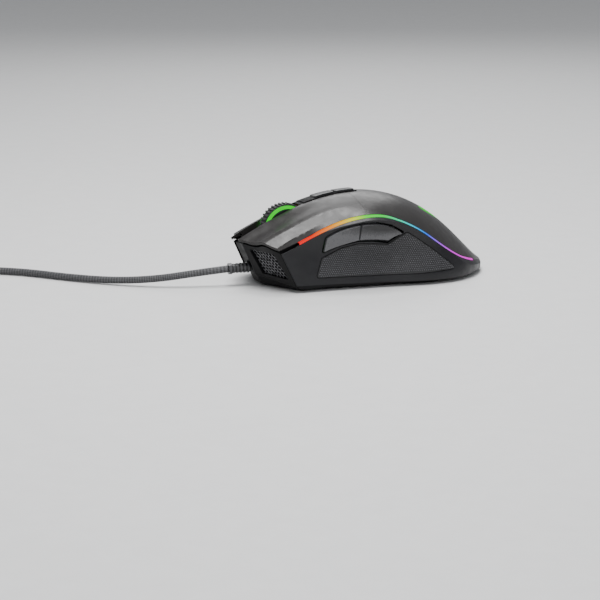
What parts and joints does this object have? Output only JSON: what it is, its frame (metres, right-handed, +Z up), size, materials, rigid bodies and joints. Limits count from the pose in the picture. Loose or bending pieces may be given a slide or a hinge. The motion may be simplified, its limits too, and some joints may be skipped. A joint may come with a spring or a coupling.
{
  "type": "computer mouse",
  "caption": "Right-handed wired mouse with two main buttons, thumb buttons, tilting scroll wheel, light strips and a tied cable.",
  "frame": {"origin": "middle of the footprint, on the surface that the feet rest on", "axes": "+Z up, -Y towards the nose and cable, +X towards the thumb side"},
  "size_m": [0.1301, 0.3043, 0.0438],
  "materials": {
    "soft_black": "soft-touch coated, fine grain",
    "side_black": "fine moulded grain",
    "base_black": "plain moulded",
    "gloss_black": "polished",
    "grip_rubber": "dotted soft rubber",
    "thumb_grey": "grained",
    "key_gloss": "satin",
    "mesh_black": "hexagonal mesh",
    "strip_light": "frosted light guide with a rainbow glow",
    "green_light": "frosted, lit green",
    "wheel_rubber": "ribbed",
    "hub_plastic": "moulded",
    "steel": "plated",
    "screw_black": "blackened",
    "foot_white": "smooth low-friction sheet",
    "board_black": "solder-masked laminate",
    "switch_white": "moulded",
    "switch_black": "moulded",
    "chip_black": "moulded",
    "plunger_green": "moulded",
    "lens_clear": "clear",
    "carrier_plastic": "moulded",
    "boot_rubber": "moulded",
    "cord_braid": "braided sleeve",
    "tie_fabric": "hook and loop strap",
    "plug_plastic": "moulded",
    "plug_tongue": "moulded"
  },
  "bodies": {
    "chassis": {"base_plate": "base_black", "palm_shell": "soft_black", "centre_spine": "gloss_black", "emblem_lens": "green_light", "nose_panel": "base_black", "left_side_panel": "side_black", "right_side_panel": "side_black", "left_grip": "grip_rubber", "right_grip": "grip_rubber", "left_light_strip": "strip_light", "right_light_strip": "strip_light", "left_bezel": "gloss_black", "right_bezel": "gloss_black", "left_grille": "mesh_black", "right_grille": "mesh_black", "main_switches": "switch_black", "thumb_switches": "switch_black", "dpi_switches": "switch_black", "wheel_click_switch": "switch_black", "case_screws": "screw_black", "board_screws": "steel", "main_board": "board_black", "front_board": "board_black", "light_shield": "carrier_plastic", "thumb_board": "board_black", "top_board": "board_black", "optical_sensor": "chip_black", "sensor_lens": "lens_clear", "controller_chip": "chip_black", "cable_connector": "switch_white", "palm_light": "switch_white", "glide_feet": "foot_white", "sensor_foot_ring": "foot_white", "strain_relief": "boot_rubber", "cable": "cord_braid", "cable_coil": "cord_braid", "cable_tie": "tie_fabric", "usb_plug": "plug_plastic", "usb_shell": "steel", "usb_tongue": "plug_tongue"},
    "left_button": {"left_button": "soft_black"},
    "right_button": {"right_button": "soft_black"},
    "left_plunger": {"left_switch_plunger": "plunger_green"},
    "right_plunger": {"right_switch_plunger": "plunger_green"},
    "front_thumb_button": {"front_thumb_button": "thumb_grey"},
    "rear_thumb_button": {"rear_thumb_button": "thumb_grey"},
    "front_thumb_plunger": {"front_thumb_plunger": "plunger_green"},
    "rear_thumb_plunger": {"rear_thumb_plunger": "plunger_green"},
    "dpi_up_button": {"dpi_up_button": "key_gloss"},
    "dpi_down_button": {"dpi_down_button": "key_gloss"},
    "dpi_up_plunger": {"dpi_up_plunger": "plunger_green"},
    "dpi_down_plunger": {"dpi_down_plunger": "plunger_green"},
    "wheel_carrier": {"wheel_carrier": "carrier_plastic"},
    "wheel_click_plunger": {"wheel_click_plunger": "plunger_green"},
    "wheel_tilt_frame": {"wheel_tilt_frame": "carrier_plastic", "wheel_encoder": "switch_black"},
    "wheel": {"wheel_hub": "hub_plastic", "wheel_tyre": "wheel_rubber", "wheel_light_rings": "green_light", "wheel_axle": "steel"}
  },
  "joints": [
    {"name": "left_click", "type": "hinge", "parent": "chassis", "child": "left_button", "pos_m": [0, -0.006, 0.039], "axis": [1, 0, 0], "range_deg": [0, 0.86], "stiffness_Nm_per_rad": 2},
    {"name": "left_plunger_slide", "type": "slide", "parent": "chassis", "child": "left_plunger", "axis": [0, 0, -1], "range_m": [0, 0.0006]},
    {"name": "right_click", "type": "hinge", "parent": "chassis", "child": "right_button", "pos_m": [0, -0.006, 0.039], "axis": [1, 0, 0], "range_deg": [0, 0.86], "stiffness_Nm_per_rad": 2},
    {"name": "right_plunger_slide", "type": "slide", "parent": "chassis", "child": "right_plunger", "axis": [0, 0, -1], "range_m": [0, 0.0006]},
    {"name": "front_thumb_press", "type": "slide", "parent": "chassis", "child": "front_thumb_button", "axis": [-1, 0, 0], "range_m": [0, 0.0006], "stiffness_N_per_m": 800},
    {"name": "front_thumb_plunger_slide", "type": "slide", "parent": "chassis", "child": "front_thumb_plunger", "axis": [-1, 0, 0], "range_m": [0, 0.0006]},
    {"name": "rear_thumb_press", "type": "slide", "parent": "chassis", "child": "rear_thumb_button", "axis": [-1, 0, 0], "range_m": [0, 0.0006], "stiffness_N_per_m": 800},
    {"name": "rear_thumb_plunger_slide", "type": "slide", "parent": "chassis", "child": "rear_thumb_plunger", "axis": [-1, 0, 0], "range_m": [0, 0.0006]},
    {"name": "dpi_up_press", "type": "slide", "parent": "chassis", "child": "dpi_up_button", "axis": [0, 0, -1], "range_m": [0, 0.0006], "stiffness_N_per_m": 800},
    {"name": "dpi_up_plunger_slide", "type": "slide", "parent": "chassis", "child": "dpi_up_plunger", "axis": [0, 0, -1], "range_m": [0, 0.0006]},
    {"name": "dpi_down_press", "type": "slide", "parent": "chassis", "child": "dpi_down_button", "axis": [0, 0, -1], "range_m": [0, 0.0006], "stiffness_N_per_m": 800},
    {"name": "dpi_down_plunger_slide", "type": "slide", "parent": "chassis", "child": "dpi_down_plunger", "axis": [0, 0, -1], "range_m": [0, 0.0006]},
    {"name": "wheel_press", "type": "slide", "parent": "chassis", "child": "wheel_carrier", "axis": [0, 0, -1], "range_m": [0, 0.0006], "stiffness_N_per_m": 1500},
    {"name": "wheel_click_plunger_slide", "type": "slide", "parent": "chassis", "child": "wheel_click_plunger", "axis": [0, 0, -1], "range_m": [0, 0.0006]},
    {"name": "wheel_tilt", "type": "hinge", "parent": "wheel_carrier", "child": "wheel_tilt_frame", "pos_m": [0, -0.0386, 0.0146], "axis": [0, 1, 0], "range_deg": [-2, 2], "stiffness_Nm_per_rad": 0.3},
    {"name": "wheel_spin", "type": "hinge", "parent": "wheel_tilt_frame", "child": "wheel", "pos_m": [0, -0.0386, 0.0263], "axis": [1, 0, 0], "continuous": true}
  ],
  "couplings": [
    {"joint": "left_plunger_slide", "follows": "left_click", "m_per_rad": 0.038},
    {"joint": "right_plunger_slide", "follows": "right_click", "m_per_rad": 0.038},
    {"joint": "front_thumb_plunger_slide", "follows": "front_thumb_press", "ratio": 1},
    {"joint": "rear_thumb_plunger_slide", "follows": "rear_thumb_press", "ratio": 1},
    {"joint": "dpi_up_plunger_slide", "follows": "dpi_up_press", "ratio": 1},
    {"joint": "dpi_down_plunger_slide", "follows": "dpi_down_press", "ratio": 1},
    {"joint": "wheel_click_plunger_slide", "follows": "wheel_press", "ratio": 1}
  ]
}
